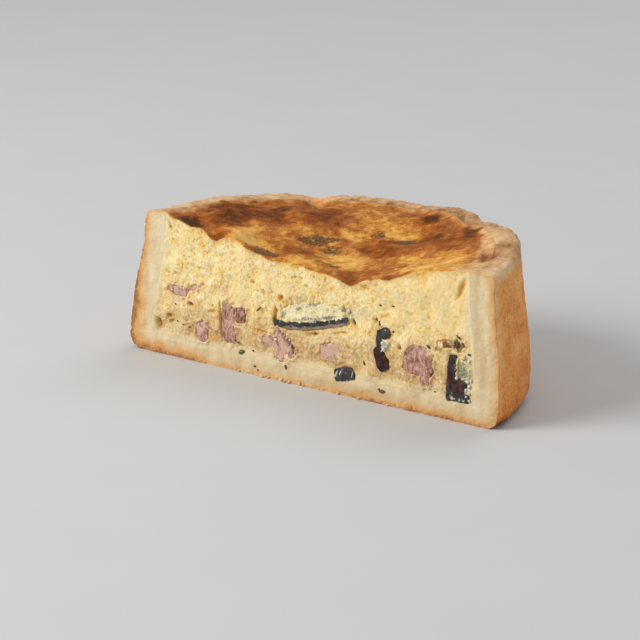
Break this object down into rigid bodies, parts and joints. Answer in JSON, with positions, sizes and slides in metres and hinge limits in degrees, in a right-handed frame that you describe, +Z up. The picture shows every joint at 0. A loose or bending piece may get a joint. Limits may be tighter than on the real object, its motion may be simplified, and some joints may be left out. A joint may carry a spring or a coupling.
{
  "type": "quiche half",
  "caption": "Half of a deep quiche with a browned top, its cut face showing ham, dark aubergine and blue cheese in the custard.",
  "frame": {"origin": "middle of the underside of the half's box, on the surface that it rests on", "axes": "+X along the cut, towards the end nearer the picture's camera; +Y from the cut face to the round back; +Z up"},
  "size_m": [0.1586, 0.0807, 0.0561],
  "materials": {
    "pastry": null,
    "custard": null,
    "ham": null,
    "ham_fat": null,
    "aubergine": null,
    "blue_cheese": null
  },
  "bodies": {
    "root": {"crust": "pastry", "custard": "custard", "ham_1": "ham", "ham_2": "ham", "ham_3": "ham", "ham_4": "ham", "ham_5": "ham", "ham_6": "ham", "ham_7": "ham_fat", "aubergine_1": "aubergine", "aubergine_2": "aubergine", "aubergine_3": "aubergine", "aubergine_4": "aubergine", "blue_cheese_1": "blue_cheese", "blue_cheese_2": "blue_cheese"}
  },
  "joints": []
}
